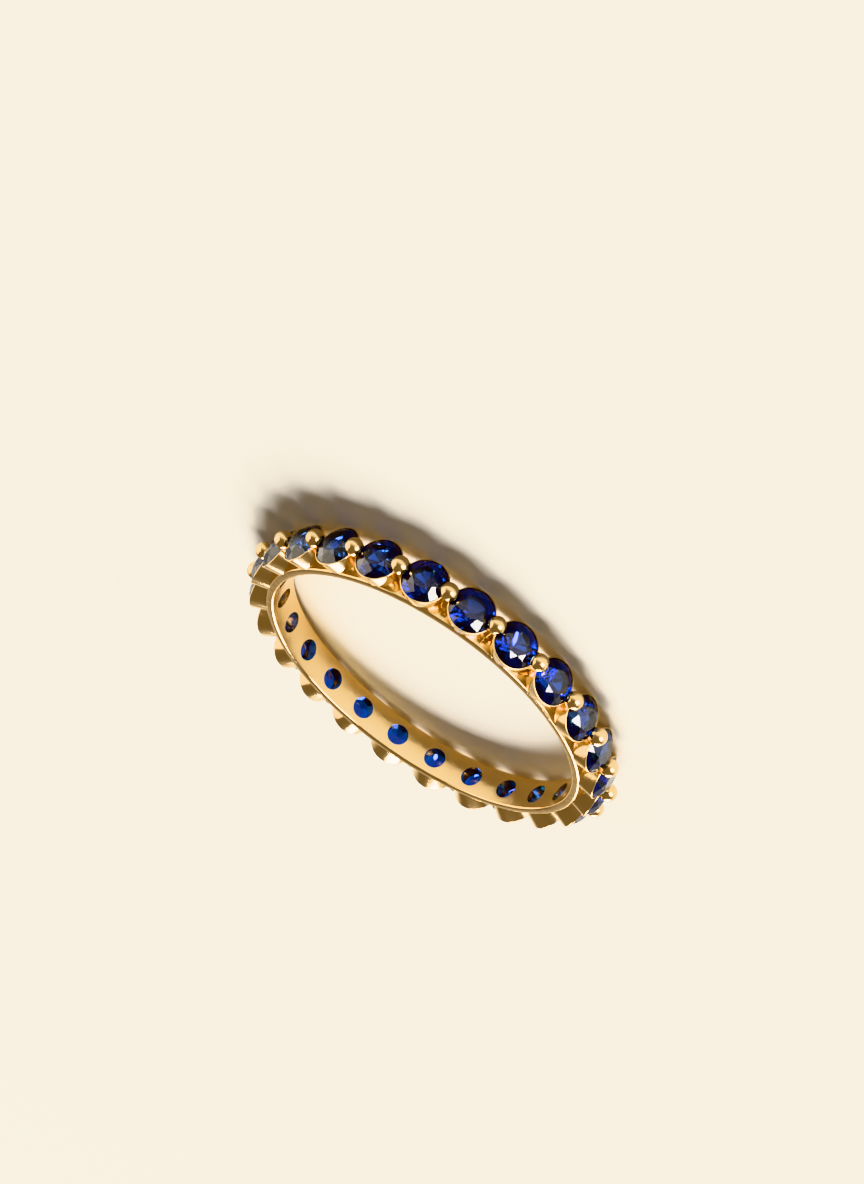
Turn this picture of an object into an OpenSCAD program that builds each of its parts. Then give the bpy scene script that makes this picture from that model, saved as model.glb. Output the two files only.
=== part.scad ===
// Eternity ring: a full circle of round brilliant stones in gold cups, with one bead prong in each gap.
// The ring lies on its side: the axis of the finger hole is +Z, and the cups' rims stand on Z = 0.

/* [Finger hole and inner band] */
// Diameter of the finger hole
finger_d = 17.3; // [15:0.1:21]
// Width of the inner band, along the finger
band_w = 1.9; // [1.5:0.05:2.2]
// Thickness of the inner band
band_t = 0.45; // [0.35:0.05:0.6]
// Bevel on the four edges of the inner band
band_bevel = 0.1; // [0.05:0.01:0.15]

/* [Stones] */
// Diameter of a stone, across its girdle
stone_d = 2.2; // [1.9:0.05:2.5]
// Least room between the girdles of two neighbouring stones
stone_gap = 0.36; // [0.3:0.01:0.5]
// Diameter of a stone's table, corner to corner
table_d = 1.2; // [0.9:0.05:1.4]
// Height of a stone's crown, from the girdle to the table
crown_h = 0.38; // [0.28:0.01:0.45]
// Thickness of a stone's girdle
girdle_t = 0.08; // [0.06:0.01:0.12]
// Depth of a stone's pavilion, from the girdle to the point
pavilion_h = 0.92; // [0.8:0.01:1]
// Share of the crown's slope that the star facets take
star_share = 0.5; // [0.4:0.05:0.6]
// Share of the pavilion's slope that the lower girdle facets take
lower_share = 0.75; // [0.6:0.05:0.8]
// Turn of each stone about its own axis, from the stone before
stone_turn = 19; // [0:1:44]

/* [Cups] */
// Depth of the setting, from the middle of a girdle to the finger hole
seat_depth = 1.25; // [1.2:0.05:1.6]
// Room between a stone and its seat
seat_clearance = 0.02; // [0.01:0.005:0.04]
// Width of the thin rim of metal round a stone
rim_t = 0.05; // [0.04:0.01:0.12]
// Height of the rim above the middle of the girdle
rim_h = 0.05; // [0.02:0.01:0.06]
// Diameter of a cup at its foot, inside the inner band
cup_foot_d = 1.8; // [1.4:0.05:1.85]
// Diameter of the light hole behind a stone
light_hole_d = 1.1; // [0.7:0.05:1.2]

/* [Bead prongs] */
// Diameter of the bead on a prong
bead_d = 0.92; // [0.7:0.02:1]
// Height of a bead's centre above the circle of the girdles
bead_lift = 0.38; // [0.32:0.01:0.46]
// Diameter of the post under a bead
post_d = 0.5; // [0.4:0.02:0.6]

/* [Hidden] */
MAINS = 8;
GIRDLE_POINTS = 4 * MAINS;
MAIN_ANGLE = 360 / MAINS;
GIRDLE_ANGLE = 360 / GIRDLE_POINTS;
$fn = 96;

// The circle that the middles of the girdles lie on, and as many stones as go round it
girdle_r = finger_d / 2 + seat_depth;
stone_count = floor(180 / asin((stone_d + stone_gap) / 2 / girdle_r));
stone_angle = 360 / stone_count;

// Heights in a stone's own frame: Z = 0 at the middle of its girdle, +Z through the table
stone_r = stone_d / 2;
table_r = table_d / 2;
girdle_z = girdle_t / 2;
table_z = girdle_z + crown_h;
culet_z = -girdle_z - pavilion_h;

// Height of a main facet of the crown or of the pavilion, at a distance x along its own direction
function crown_main_z(x) = girdle_z + crown_h * (stone_r - x) / (stone_r - table_r);
function pavilion_main_z(x) = -girdle_z - pavilion_h * (stone_r - x) / stone_r;

// The points where star facets and lower girdle facets end, half way between two mains
table_flat_r = table_r * cos(MAIN_ANGLE / 2);
star_r = table_flat_r + star_share * (stone_r - table_flat_r);
star_z = crown_main_z(star_r * cos(MAIN_ANGLE / 2));
lower_r = stone_r * (1 - lower_share);
lower_z = pavilion_main_z(lower_r * cos(MAIN_ANGLE / 2));

// The girdle facets are flat, so each edge of the round girdle dips by this much between two points
chord_r = stone_r * cos(GIRDLE_ANGLE);
top_dip = (stone_r - chord_r) * (star_z - girdle_z) / (chord_r - star_r * cos(GIRDLE_ANGLE));
bottom_dip = (stone_r - chord_r) * (-girdle_z - lower_z) / (chord_r - lower_r * cos(GIRDLE_ANGLE));

// Sizes of the metal
cup_rim_r = stone_r + seat_clearance + rim_t;
ring_h = 2 * cup_rim_r;
foot_depth = seat_depth - band_t / 2;

function two_digits(i) = i < 10 ? str("0", i) : str(i);
function stone_name(i) = str("stone_", two_digits(i));

function at(angle, r, z) = [r * cos(angle), r * sin(angle), z];

// Puts its children on the circle, with their own +Z pointing straight out from the finger hole
module stand_out(angle, r) {
    rotate([0, 0, angle])
        translate([r, 0, ring_h / 2])
            rotate([0, 90, 0])
                children();
}

// One round brilliant
module brilliant() {
    tables = [for (k = [0:MAINS - 1]) at(k * MAIN_ANGLE, table_r, table_z)];
    stars = [for (k = [0:MAINS - 1]) at((k + 0.5) * MAIN_ANGLE, star_r, star_z)];
    tops = [for (k = [0:GIRDLE_POINTS - 1])
        at(k * GIRDLE_ANGLE, stone_r, girdle_z - (k % 2) * top_dip)];
    bottoms = [for (k = [0:GIRDLE_POINTS - 1])
        at(k * GIRDLE_ANGLE, stone_r, -girdle_z + (k % 2) * bottom_dip)];
    lowers = [for (k = [0:MAINS - 1]) at((k + 0.5) * MAIN_ANGLE, lower_r, lower_z)];

    // Where each group of points starts in the list, and the number of a point in it
    star_at = MAINS;
    top_at = star_at + MAINS;
    bottom_at = top_at + GIRDLE_POINTS;
    lower_at = bottom_at + GIRDLE_POINTS;
    culet = lower_at + MAINS;
    function table(k) = k % MAINS;
    function star(k) = star_at + (k + MAINS) % MAINS;
    function top(k) = top_at + k % GIRDLE_POINTS;
    function bottom(k) = bottom_at + k % GIRDLE_POINTS;
    function lower(k) = lower_at + (k + MAINS) % MAINS;

    faces = concat(
        [[for (k = [MAINS - 1:-1:0]) table(k)]],
        [for (k = [0:MAINS - 1]) [table(k + 1), star(k), table(k)]],
        [for (k = [0:MAINS - 1]) [table(k), star(k), top(4 * k), star(k - 1)]],
        [for (k = [0:MAINS - 1], j = [4 * k, 4 * k + 2]) [top(j + 2), top(j + 1), top(j), star(k)]],
        [for (k = [0:GIRDLE_POINTS - 1]) [top(k), top(k + 1), bottom(k + 1), bottom(k)]],
        [for (k = [0:MAINS - 1], j = [4 * k, 4 * k + 2])
            [lower(k), bottom(j), bottom(j + 1), bottom(j + 2)]],
        [for (k = [0:MAINS - 1]) [culet, lower(k - 1), bottom(4 * k), lower(k)]]
    );
    polyhedron(concat(tables, stars, tops, bottoms, lowers, [[0, 0, culet_z]]), faces);
}

// Stone number i, counted round the ring from +X, which runs through the prong before the first stone
module stone(i) {
    color("midnightblue")
        stand_out((i - 0.5) * stone_angle, girdle_r)
            rotate([0, 0, i * stone_turn])
                brilliant();
}

// The plain ring round the finger hole, with bevelled edges
module inner_band() {
    in_r = finger_d / 2;
    out_r = in_r + band_t;
    half_w = band_w / 2;
    translate([0, 0, ring_h / 2])
        rotate_extrude($fn = 180)
            polygon([
                [in_r, -half_w + band_bevel],
                [in_r + band_bevel, -half_w],
                [out_r - band_bevel, -half_w],
                [out_r, -half_w + band_bevel],
                [out_r, half_w - band_bevel],
                [out_r - band_bevel, half_w],
                [in_r + band_bevel, half_w],
                [in_r, half_w - band_bevel]
            ]);
}

// The outside of a cup, from its foot in the inner band to its rim
module cup() {
    translate([0, 0, -foot_depth])
        cylinder(h = foot_depth + rim_h, r1 = cup_foot_d / 2, r2 = cup_rim_r);
}

// A post with its bead, from inside the inner band outwards
module prong() {
    translate([0, 0, -foot_depth])
        cylinder(h = foot_depth + bead_lift, d = post_d);
    translate([0, 0, bead_lift])
        sphere(d = bead_d);
}

// The room that a stone and its clearance take out of the metal
module seat() {
    rotate_extrude()
        polygon([
            [0, culet_z - seat_clearance],
            [lower_r + seat_clearance, lower_z - seat_clearance],
            [stone_r + seat_clearance, -girdle_z - seat_clearance],
            [stone_r + seat_clearance, girdle_z + seat_clearance],
            [star_r + seat_clearance, star_z + seat_clearance],
            [table_r + seat_clearance, table_z + seat_clearance],
            [0, table_z + seat_clearance]
        ]);
}

// The hole from the finger hole up to the seat
module light_hole() {
    translate([0, 0, -seat_depth - band_t])
        cylinder(h = seat_depth + band_t - girdle_z, d = light_hole_d);
}

module setting() {
    color("goldenrod")
        difference() {
            union() {
                inner_band();
                for (i = [1:stone_count]) {
                    stand_out((i - 0.5) * stone_angle, girdle_r) cup();
                    stand_out(i * stone_angle, girdle_r) prong();
                }
            }
            for (i = [1:stone_count])
                stand_out((i - 0.5) * stone_angle, girdle_r) {
                    seat();
                    light_hole();
                }
        }
}

setting();
for (i = [1:stone_count])
    stone(i);
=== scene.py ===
"""An eternity ring of round blue stones in yellow gold, lying on its side on a pale floor."""

import math
import random

import bmesh
import bpy
from mathutils import Matrix, Quaternion, Vector


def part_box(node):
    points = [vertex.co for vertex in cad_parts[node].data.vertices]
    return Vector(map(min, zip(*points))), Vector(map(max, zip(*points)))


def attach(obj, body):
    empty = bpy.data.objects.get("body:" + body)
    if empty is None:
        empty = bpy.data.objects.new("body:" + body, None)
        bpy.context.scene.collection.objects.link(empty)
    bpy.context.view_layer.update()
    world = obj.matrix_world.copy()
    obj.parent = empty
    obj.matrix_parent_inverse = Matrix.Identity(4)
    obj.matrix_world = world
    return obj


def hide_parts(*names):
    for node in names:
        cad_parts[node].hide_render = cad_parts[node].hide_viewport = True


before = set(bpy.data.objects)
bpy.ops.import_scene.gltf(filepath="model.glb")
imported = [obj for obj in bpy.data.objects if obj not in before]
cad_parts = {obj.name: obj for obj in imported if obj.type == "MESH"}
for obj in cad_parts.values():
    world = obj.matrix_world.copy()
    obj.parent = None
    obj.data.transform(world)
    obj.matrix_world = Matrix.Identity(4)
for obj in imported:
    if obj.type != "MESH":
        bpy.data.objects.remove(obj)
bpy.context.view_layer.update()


# The setting is one casting in yellow gold: a thin inner band, a tapered cup for each stone, and in each
# gap a post with a round bead. The seats and light holes are cut into it, and it is polished by hand. The
# beads are pushed over the stones' crowns last, so no two of them are quite alike.

MM = 0.001
STONE_COUNT = sum(name.startswith("stone_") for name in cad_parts)
STONE_ANGLE = 2 * math.pi / STONE_COUNT
ring_low, ring_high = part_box("setting")
MIDDLE = (ring_low.z + ring_high.z) / 2

# The stones that the metal is cut for, in their own frame: z = 0 at the middle of the girdle
STONE_R = 1.1 * MM
TABLE_R = 0.6 * MM
CROWN = 0.38 * MM
PAVILION = 0.92 * MM
GIRDLE_HALF = 0.04 * MM
STAR_SHARE = 0.5
LOWER_SHARE = 0.75
MAINS = 8
HALF_MAIN = math.pi / MAINS
TABLE_Z = GIRDLE_HALF + CROWN
CULET_Z = -GIRDLE_HALF - PAVILION

# The metal
GIRDLE_R = 9.9 * MM
CLEARANCE = 0.02 * MM
SEAT_DEPTH = 1.25 * MM
BAND_WIDTH = 1.9 * MM
BAND_THICK = 0.45 * MM
BAND_BEVEL = 0.1 * MM
BAND_INSIDE = GIRDLE_R - SEAT_DEPTH
RIM_R = (ring_high.z - ring_low.z) / 2
RIM_HEIGHT = 0.05 * MM
RIM_ROUNDING = 0.03 * MM
FOOT_R = 0.9 * MM
FOOT_DEPTH = SEAT_DEPTH - BAND_THICK / 2
LIGHT_HOLE_R = 0.55 * MM
BEAD_R = 0.46 * MM
BEAD_LIFT = 0.38 * MM
POST_R = 0.25 * MM
POST_FOOT_R = 0.3 * MM

# How much the prongs differ from each other
PRONG_SEED = 24
PRONG_LEAN = math.radians(2)
PRONG_UNEVEN = 0.02

# How finely the round forms are stepped
BAND_STEPS = 720
BEVEL_STEPS = 5
CUP_STEPS = 128
RIM_STEPS = 6
PRONG_STEPS = 56
BEAD_STEPS = 24

# A point nearer to the axis than this is on it, and corners nearer to each other than this are one
ON_AXIS = 1e-6 * MM
WELD = 2e-4 * MM

# Faces that meet at more than this angle keep a sharp edge between them
SHARP_EDGE = math.radians(32)


def main_height(x):
    """Height of a crown main at a distance x along its own direction."""
    return GIRDLE_HALF + CROWN * (STONE_R - x) / (STONE_R - TABLE_R)


def pavilion_height(x):
    """Height of a pavilion main at a distance x along its own direction."""
    return -GIRDLE_HALF - PAVILION * (STONE_R - x) / STONE_R


TABLE_FLAT_R = TABLE_R * math.cos(HALF_MAIN)
STAR_R = TABLE_FLAT_R + STAR_SHARE * (STONE_R - TABLE_FLAT_R)
STAR_Z = main_height(STAR_R * math.cos(HALF_MAIN))
LOWER_R = STONE_R * (1 - LOWER_SHARE)
LOWER_Z = pavilion_height(LOWER_R * math.cos(HALF_MAIN))


def arc(centre, radius, start, end, steps):
    """Points (r, z) of an arc in a turned outline, from start to end in degrees."""
    angles = [math.radians(start + (end - start) * k / steps) for k in range(steps + 1)]
    return [(centre[0] + radius * math.cos(a), centre[1] + radius * math.sin(a)) for a in angles]


def turned(mesh, outline, place, steps):
    """Turns an outline of points (r, z) about its z axis. It is closed, or starts and ends on the axis."""
    rings = []
    for r, z in outline:
        count = 1 if r < ON_AXIS else steps
        angles = [2 * math.pi * k / steps for k in range(count)]
        points = [Vector((r * math.cos(a), r * math.sin(a), z)) for a in angles]
        rings.append([mesh.verts.new(place @ point) for point in points])
    if len(rings[0]) > 1:
        rings.append(rings[0])
    for low, high in zip(rings, rings[1:]):
        for k in range(steps):
            here = (low[k % len(low)], high[k % len(high)])
            after = (low[(k + 1) % len(low)], high[(k + 1) % len(high)])
            corners = [here[0], after[0], after[1], here[1]]
            mesh.faces.new(list(dict.fromkeys(corners)))


def stand_out(angle):
    """The place on the circle of girdles whose own +z points straight out from the finger hole."""
    turn = Matrix.Rotation(angle, 4, "Z")
    return turn @ Matrix.Translation((GIRDLE_R, 0, MIDDLE)) @ Matrix.Rotation(math.pi / 2, 4, "Y")


def cup_place(k):
    """The place of cup k, and of the stone in it."""
    return stand_out((k + 0.5) * STONE_ANGLE)


def solid(name, fill, *details):
    """A new object whose mesh is filled by a function."""
    mesh = bmesh.new()
    fill(mesh, *details)
    bmesh.ops.recalc_face_normals(mesh, faces=mesh.faces)
    data = bpy.data.meshes.new(name)
    mesh.to_mesh(data)
    mesh.free()
    piece = bpy.data.objects.new(name, data)
    bpy.context.scene.collection.objects.link(piece)
    return piece


def fill_band(mesh):
    inside = BAND_INSIDE + BAND_BEVEL
    outside = BAND_INSIDE + BAND_THICK - BAND_BEVEL
    side = BAND_WIDTH / 2 - BAND_BEVEL
    outline = arc((inside, -side), BAND_BEVEL, 180, 270, BEVEL_STEPS)
    outline += arc((outside, -side), BAND_BEVEL, 270, 360, BEVEL_STEPS)
    outline += arc((outside, side), BAND_BEVEL, 0, 90, BEVEL_STEPS)
    outline += arc((inside, side), BAND_BEVEL, 90, 180, BEVEL_STEPS)
    turned(mesh, outline, Matrix.Translation((0, 0, MIDDLE)), BAND_STEPS)


def fill_cups(mesh):
    taper = math.degrees(math.atan((RIM_R - FOOT_R) / (FOOT_DEPTH + RIM_HEIGHT)))
    rim = (RIM_R - RIM_ROUNDING, RIM_HEIGHT - RIM_ROUNDING)
    outline = [(0, -FOOT_DEPTH), (FOOT_R, -FOOT_DEPTH)]
    outline += arc(rim, RIM_ROUNDING, -taper, 90, RIM_STEPS)
    outline += [(0, RIM_HEIGHT)]
    for k in range(STONE_COUNT):
        turned(mesh, outline, cup_place(k), CUP_STEPS)


def fill_prongs(mesh):
    """The posts, which widen to their feet, with their beads."""
    post_meets_bead = math.degrees(math.acos(POST_R / BEAD_R))
    outline = [(0, -FOOT_DEPTH), (POST_FOOT_R, -FOOT_DEPTH)]
    outline += arc((0, BEAD_LIFT), BEAD_R, -post_meets_bead, 90, BEAD_STEPS)
    hand = random.Random(PRONG_SEED)
    for k in range(STONE_COUNT):
        lean_x = Matrix.Rotation(hand.uniform(-PRONG_LEAN, PRONG_LEAN), 4, "X")
        lean_y = Matrix.Rotation(hand.uniform(-PRONG_LEAN, PRONG_LEAN), 4, "Y")
        size = Matrix.Diagonal([1 + hand.uniform(-PRONG_UNEVEN, PRONG_UNEVEN) for axis in "XYZ"] + [1])
        turned(mesh, outline, stand_out(k * STONE_ANGLE) @ lean_x @ lean_y @ size, PRONG_STEPS)


def fill_seats(mesh):
    """The room for each stone and its clearance, which narrows along the pavilion to the light hole."""
    slope = (-GIRDLE_HALF - LOWER_Z) / (STONE_R - LOWER_R)
    hole_top = LOWER_Z - CLEARANCE + slope * (LIGHT_HOLE_R - LOWER_R - CLEARANCE)
    hole_foot = -SEAT_DEPTH - BAND_THICK
    outline = [
        (0, hole_foot),
        (LIGHT_HOLE_R, hole_foot),
        (LIGHT_HOLE_R, hole_top),
        (STONE_R + CLEARANCE, -GIRDLE_HALF - CLEARANCE),
        (STONE_R + CLEARANCE, GIRDLE_HALF + CLEARANCE),
        (STAR_R + CLEARANCE, STAR_Z + CLEARANCE),
        (TABLE_R + CLEARANCE, TABLE_Z + CLEARANCE),
        (0, TABLE_Z + CLEARANCE),
    ]
    for k in range(STONE_COUNT):
        turned(mesh, outline, cup_place(k), CUP_STEPS)


def cut(piece, tool, operation):
    """Joins another solid to the piece, or cuts it away, and deletes that solid."""
    step = piece.modifiers.new("step", "BOOLEAN")
    step.operation = operation
    step.solver = "MANIFOLD"
    step.object = tool
    made = bpy.data.meshes.new_from_object(piece.evaluated_get(bpy.context.evaluated_depsgraph_get()))
    piece.modifiers.clear()
    piece.data = made
    bpy.data.objects.remove(tool)


def weld(piece):
    """Merges the corners that cuts have left all but on top of each other."""
    mesh = bmesh.new()
    mesh.from_mesh(piece.data)
    bmesh.ops.remove_doubles(mesh, verts=mesh.verts, dist=WELD)
    mesh.to_mesh(piece.data)
    mesh.free()


setting = solid("gold_setting", fill_band)
cut(setting, solid("cups", fill_cups), "UNION")
cut(setting, solid("prongs", fill_prongs), "UNION")
cut(setting, solid("seats", fill_seats), "DIFFERENCE")
weld(setting)
setting.data.shade_smooth()
setting.data.set_sharp_from_angle(angle=SHARP_EDGE)


class Socket:
    """An output in a node tree. Sums and products of sockets and numbers add Math nodes."""

    def __init__(self, tree, socket=None):
        self.tree = tree
        self.socket = socket

    def node(self, kind, settings, values, output=0):
        """Adds a node, sets it up, gives its sockets numbers, colours or links, and returns one output."""
        made = self.tree.nodes.new(kind)
        for name, choice in settings.items():
            if name == "stops":
                ramp = made.color_ramp.elements
                while len(ramp) < len(choice):
                    ramp.new(1)
                for stop, (place, colour) in zip(ramp, choice):
                    stop.position = place
                    stop.color = colour
            else:
                setattr(made, name, choice)
        for name, value in values.items():
            if isinstance(value, Socket):
                self.tree.links.new(value.socket, made.inputs[name])
            else:
                made.inputs[name].default_value = value
        if made.outputs:
            return Socket(self.tree, made.outputs[output])

    def maths(self, operation, *values):
        return self.node("ShaderNodeMath", {"operation": operation}, dict(enumerate(values)))

    def __add__(self, other):
        return self.maths("ADD", self, other)

    def __sub__(self, other):
        return self.maths("SUBTRACT", self, other)

    def __rsub__(self, other):
        return self.maths("SUBTRACT", other, self)

    def __mul__(self, other):
        return self.maths("MULTIPLY", self, other)

    __radd__ = __add__
    __rmul__ = __mul__

    def mix(self, low, high):
        """A colour between low and high, by this socket. The Mix node has its colours at 6, 7 and 2."""
        return self.node("ShaderNodeMix", {"data_type": "RGBA"}, {0: self, 6: low, 7: high}, 2)

    def noise(self, scale, detail):
        """Soft noise from 0 to 1 over the place that this socket gives."""
        return self.node("ShaderNodeTexNoise", {}, {"Vector": self, "Scale": scale, "Detail": detail})


def new_tree(owner):
    """Empties the node tree of a material or a world, and gives a socket to build it from."""
    owner.use_nodes = True
    owner.node_tree.nodes.clear()
    return Socket(owner.node_tree)


# The finish of the metal
GOLD = (1.0, 0.78, 0.45, 1)
GOLD_DEEP = (0.98, 0.71, 0.36, 1)
# Painted shade: a darker, more orange gold where other parts hem the metal in, found by ambient occlusion
# within this reach
GOLD_PAINTED_SHADE = (0.84, 0.6, 0.27, 1)
PAINTED_SHADE_REACH = 0.7 * MM
PAINTED_SHADE_SAMPLES = 6
CLOUD_SCALE = 900.0
CLOUD_DETAIL = 4.0
DENT_SCALE = 2600.0
DENT_DETAIL = 1.0
DENT_DEPTH = 0.008 * MM
SCRATCH_SCALE = 30000.0
SCRATCH_DETAIL = 3.0
SCRATCH_STRETCH = 0.1
SCRATCH_DEPTH = 0.0004 * MM
INSIDE_ROUGHNESS = 0.1
OUTSIDE_ROUGHER = 0.06
CLOUD_ROUGHNESS = 0.1
SCRATCH_ROUGHNESS = 0.06


def polished_gold():
    """Gold with soft dents, cloudy patches and fine scratches round the ring, and painted shade, darker
    and more orange, where other parts hem the metal in.
    """
    made = bpy.data.materials.new("polished_gold")
    start = new_tree(made)
    place = start.node("ShaderNodeTexCoord", {}, {}, "Object")
    x, y, z = [start.node("ShaderNodeSeparateXYZ", {}, {"Vector": place}, axis) for axis in "XYZ"]
    out_way = start.maths("SQRT", x * x + y * y)
    round_way = start.maths("ARCTAN2", y, x) * (GIRDLE_R * SCRATCH_STRETCH)
    along = start.node("ShaderNodeCombineXYZ", {}, {"X": round_way, "Y": out_way, "Z": z})
    scratches = along.noise(SCRATCH_SCALE, SCRATCH_DETAIL)
    clouds = place.noise(CLOUD_SCALE, CLOUD_DETAIL)
    dents = place.noise(DENT_SCALE, DENT_DETAIL)
    # The heights are real depths in metres, so the bump takes them as they are
    worked = start.node("ShaderNodeBump", {}, {
        "Height": dents * DENT_DEPTH + scratches * SCRATCH_DEPTH,
        "Strength": 1.0,
        "Distance": 1.0,
    })
    # Painted shade: the colour turns to the darker, more orange gold where ambient occlusion finds the
    # metal hemmed in
    painted_shade = 1 - start.node(
        "ShaderNodeAmbientOcclusion", {"samples": PAINTED_SHADE_SAMPLES}, {"Distance": PAINTED_SHADE_REACH}, "AO"
    )
    outside = start.maths("GREATER_THAN", out_way, BAND_INSIDE + BAND_BEVEL)
    patches = (clouds - 0.5) * CLOUD_ROUGHNESS + (scratches - 0.5) * SCRATCH_ROUGHNESS
    shader = start.node("ShaderNodeBsdfPrincipled", {}, {
        "Base Color": painted_shade.mix(clouds.mix(GOLD_DEEP, GOLD), GOLD_PAINTED_SHADE),
        "Metallic": 1.0,
        "Roughness": patches + outside * OUTSIDE_ROUGHER + INSIDE_ROUGHNESS,
        "Normal": worked,
    })
    start.node("ShaderNodeOutputMaterial", {}, {"Surface": shader})
    return made


setting.data.materials.clear()
setting.data.materials.append(polished_gold())
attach(setting, "root")
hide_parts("setting")


# The stones are round brilliants of deep blue sapphire: a table, 8 stars, 8 mains and 16 upper girdle
# facets above the girdle, and 16 lower girdle facets and 8 mains below. Each is cut to the same calibrated
# size and set in its cup with a hair of room, turned as it came to hand.

# The upper and lower girdle facets: half of the angle that one takes up, and the steps along its edge
FACET_HALF = HALF_MAIN / 2
GIRDLE_STEPS = 4
GIRDLE_POINTS = 2 * MAINS * GIRDLE_STEPS
STONE_TURN = math.radians(19)


def girdle_edge(level, tip_r, tip_z, k):
    """Height of the girdle's edge at point k, where a flat facet from its tip meets the round girdle."""
    across = STONE_R * math.cos(FACET_HALF * (1 - 2 * (k % GIRDLE_STEPS) / GIRDLE_STEPS))
    chord = STONE_R * math.cos(FACET_HALF)
    slope = (level - tip_z) / (chord - tip_r * math.cos(FACET_HALF))
    return level + slope * (across - chord)


def fill_brilliant(mesh, place):
    def point(angle, r, z):
        return mesh.verts.new(place @ Vector((r * math.cos(angle), r * math.sin(angle), z)))

    def girdle(level, tip_r, tip_z):
        turns = [2 * math.pi * k / GIRDLE_POINTS for k in range(GIRDLE_POINTS)]
        return [point(a, STONE_R, girdle_edge(level, tip_r, tip_z, k)) for k, a in enumerate(turns)]

    mains = [2 * HALF_MAIN * k for k in range(MAINS)]
    table = [point(a, TABLE_R, TABLE_Z) for a in mains]
    star = [point(a + HALF_MAIN, STAR_R, STAR_Z) for a in mains]
    top = girdle(GIRDLE_HALF, STAR_R, STAR_Z)
    bottom = girdle(-GIRDLE_HALF, LOWER_R, LOWER_Z)
    lower = [point(a + HALF_MAIN, LOWER_R, LOWER_Z) for a in mains]
    culet = point(0, 0, CULET_Z)
    mesh.faces.new(table)
    for k in range(MAINS):
        at = 2 * GIRDLE_STEPS * k
        mesh.faces.new([table[k], star[k], table[(k + 1) % MAINS]])
        mesh.faces.new([table[k], star[k - 1], top[at], star[k]])
        mesh.faces.new([culet, lower[k - 1], bottom[at], lower[k]])
        for first in (at, at + GIRDLE_STEPS):
            edge = [(first + j) % GIRDLE_POINTS for j in range(GIRDLE_STEPS + 1)]
            mesh.faces.new([star[k]] + [top[j] for j in edge])
            mesh.faces.new([lower[k]] + [bottom[j] for j in edge])
    for k in range(GIRDLE_POINTS):
        after = (k + 1) % GIRDLE_POINTS
        mesh.faces.new([top[k], bottom[k], bottom[after], top[after]])


# The blue is partly in the polished faces and partly in the depth of the stone
BLUE = (0.12, 0.27, 1, 1)
BLUE_DEEP = (0.06, 0.16, 0.85, 1)
BLUE_WITHIN = (0.4, 0.68, 0.78, 1)
DEPTH_OF_BLUE = 3600.0
ZONE_SCALE = 1100.0
ZONE_DETAIL = 2.0
SAPPHIRE_IOR = 1.77


def sapphire():
    """Clear blue crystal, with the soft zones of deeper colour that sapphire grows with."""
    made = bpy.data.materials.new("sapphire")
    start = new_tree(made)
    place = start.node("ShaderNodeTexCoord", {}, {}, "Object")
    zones = place.noise(ZONE_SCALE, ZONE_DETAIL)
    shader = start.node("ShaderNodeBsdfPrincipled", {}, {
        "Base Color": zones.mix(BLUE_DEEP, BLUE),
        "Roughness": 0.0,
        "IOR": SAPPHIRE_IOR,
        "Transmission Weight": 1.0,
    })
    within = start.node("ShaderNodeVolumeAbsorption", {}, {"Color": BLUE_WITHIN, "Density": DEPTH_OF_BLUE})
    start.node("ShaderNodeOutputMaterial", {}, {"Surface": shader, "Volume": within})
    return made


crystal = sapphire()
for k in range(STONE_COUNT):
    node = f"stone_{k + 1:02d}"
    turn = Matrix.Rotation((k + 1) * STONE_TURN, 4, "Z")
    stone = solid("cut_" + node, fill_brilliant, cup_place(k) @ turn)
    stone.data.materials.append(crystal)
    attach(stone, "root")
    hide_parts(node)


# The floor is a plain pale sheet of matt card, cut round, that the ring lies on by its own weight.
# It runs far past the ring, so that its edge is out of sight or reads as the horizon.

FLOOR_R = 0.8
FLOOR_STEPS = 256
CARD = (0.84, 0.83, 0.79, 1)
CARD_DEEP = (0.82, 0.8, 0.75, 1)
SHEET_SCALE = 12.0
SHEET_DETAIL = 3.0
GRAIN_SCALE = 1800.0
GRAIN_DETAIL = 4.0
GRAIN_DEPTH = 0.02 * MM
GRAIN_STRENGTH = 0.15
GRAIN_SHARE = 0.3


def pale_card():
    made = bpy.data.materials.new("pale_card")
    start = new_tree(made)
    place = start.node("ShaderNodeTexCoord", {}, {}, "Object")
    clouds = place.noise(SHEET_SCALE, SHEET_DETAIL)
    grain = place.noise(GRAIN_SCALE, GRAIN_DETAIL)
    pressed = start.node("ShaderNodeBump", {}, {
        "Height": grain,
        "Strength": GRAIN_STRENGTH,
        "Distance": GRAIN_DEPTH,
    })
    shader = start.node("ShaderNodeBsdfPrincipled", {}, {
        "Base Color": (clouds * (1 - GRAIN_SHARE) + grain * GRAIN_SHARE).mix(CARD_DEEP, CARD),
        "Roughness": 1.0,
        "Specular IOR Level": 0.0,
        "Normal": pressed,
    })
    start.node("ShaderNodeOutputMaterial", {}, {"Surface": shader})
    return made


def fill_floor(mesh):
    bmesh.ops.create_circle(mesh, cap_ends=True, radius=FLOOR_R, segments=FLOOR_STEPS)


floor = solid("floor", fill_floor)
floor.data.materials.append(pale_card())


# The light is a large soft box behind the ring on the left, like a window, in a dim warm room that is
# pale along the horizon. A wide panel on the right and a smaller one in front are there for the polished
# metal and the stones to mirror, and don't light the floor.

# Shares of the way up from the horizon, and the room's colour there
ROOM = [
    (0.0, (1.0, 0.93, 0.81, 1)),
    (0.2, (0.72, 0.63, 0.5, 1)),
    (0.45, (0.21, 0.16, 0.11, 1)),
]


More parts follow.
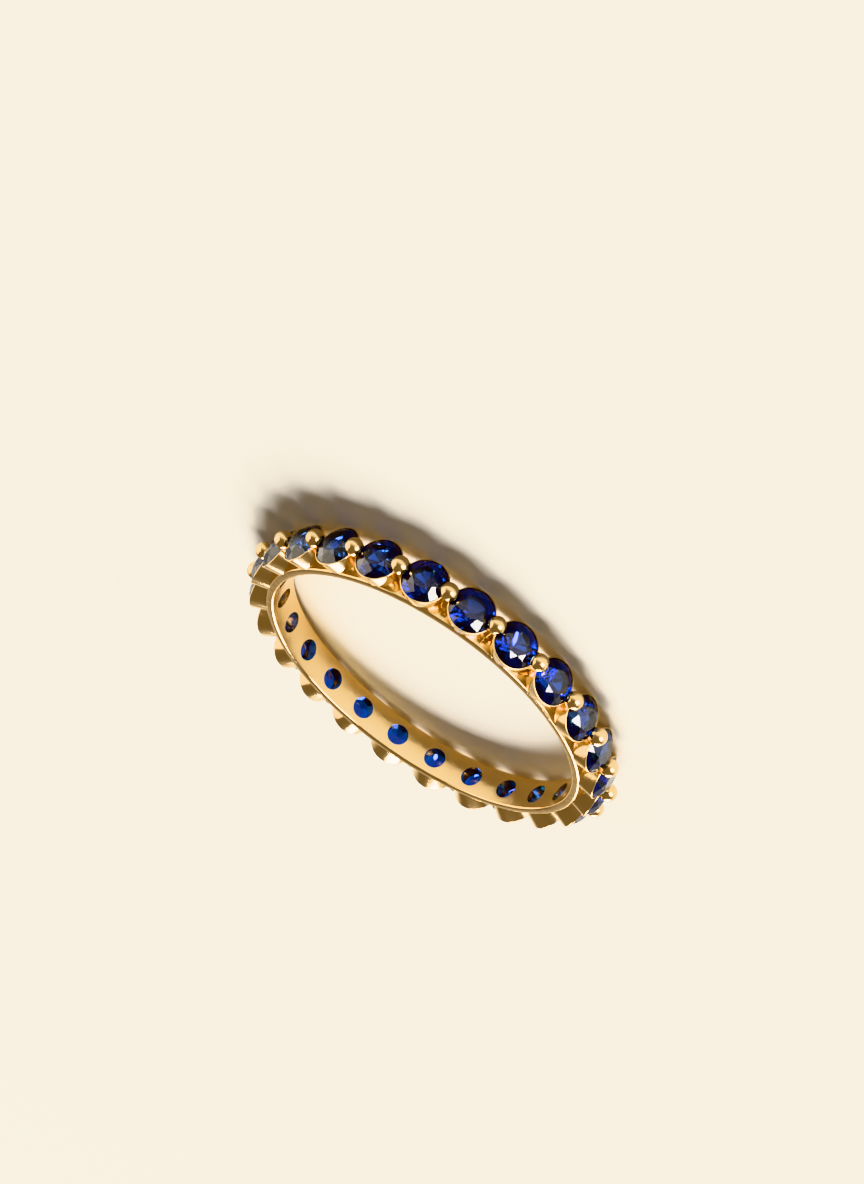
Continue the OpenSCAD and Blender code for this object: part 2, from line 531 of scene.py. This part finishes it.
def soft_box(name, toward, distance, width, height, watts, colour, lights_floor):
    """A soft box that faces the ring from a direction, and doesn't show in the picture itself."""
    lamp = bpy.data.lights.new(name, "AREA")
    lamp.shape = "RECTANGLE"
    lamp.size = width
    lamp.size_y = height
    lamp.energy = watts
    lamp.color = colour
    box = bpy.data.objects.new(name, lamp)
    bpy.context.scene.collection.objects.link(box)
    box.location = Vector(toward).normalized() * distance
    box.rotation_mode = "QUATERNION"
    box.rotation_quaternion = (-box.location).to_track_quat("-Z", "Y")
    box.visible_camera = False
    box.visible_diffuse = lights_floor


soft_box(
    "window",
    toward=(-0.643, 0.766, 0.577),
    distance=4.0,
    width=2.06,
    height=2.06,
    watts=530.0,
    colour=(1, 0.965, 0.9),
    lights_floor=True,
)
soft_box(
    "side_panel",
    toward=(0.93, 0.22, 0.42),
    distance=0.3,
    width=0.4,
    height=0.3,
    watts=0.9,
    colour=(1, 0.88, 0.7),
    lights_floor=False,
)
soft_box(
    "front_panel",
    toward=(-0.63, -0.735, 0.25),
    distance=0.35,
    width=0.27,
    height=0.19,
    watts=2.6,
    colour=(1, 0.97, 0.9),
    lights_floor=False,
)


def room():
    made = bpy.data.worlds.new("room")
    start = new_tree(made)
    toward = start.node("ShaderNodeTexCoord", {}, {}, "Generated")
    height = start.node("ShaderNodeSeparateXYZ", {}, {"Vector": toward}, "Z")
    colour = start.node("ShaderNodeValToRGB", {"stops": ROOM}, {"Fac": height})
    light = start.node("ShaderNodeBackground", {}, {"Color": colour, "Strength": 1.0})
    start.node("ShaderNodeOutputWorld", {}, {"Surface": light})
    return made


bpy.context.scene.world = room()


# The camera is a long lens at the photograph's angle to the ring, turned as the photograph is.
# The view transform keeps the gold and the blue as saturated as they are lit.

LENS = 100
SENSOR = 36
NEAREST = 1 * MM
CAMERA_PLACE = Vector((14.718, -148.470, 61.55)) * MM
CAMERA_AIM = Vector((2.587, -1.187, -2.07)) * MM
CAMERA_ROLL = math.radians(-143.88)

lens = bpy.data.cameras.new("camera")
lens.lens = LENS
lens.sensor_width = SENSOR
lens.clip_start = NEAREST
camera = bpy.data.objects.new("camera", lens)
bpy.context.scene.collection.objects.link(camera)
camera.location = CAMERA_PLACE
camera.rotation_mode = "QUATERNION"
level = (CAMERA_AIM - CAMERA_PLACE).to_track_quat("-Z", "Y")
camera.rotation_quaternion = level @ Quaternion((0, 0, 1), CAMERA_ROLL)
bpy.context.scene.camera = camera
bpy.context.scene.view_settings.view_transform = "Khronos PBR Neutral"
bpy.context.scene.view_settings.exposure = 0
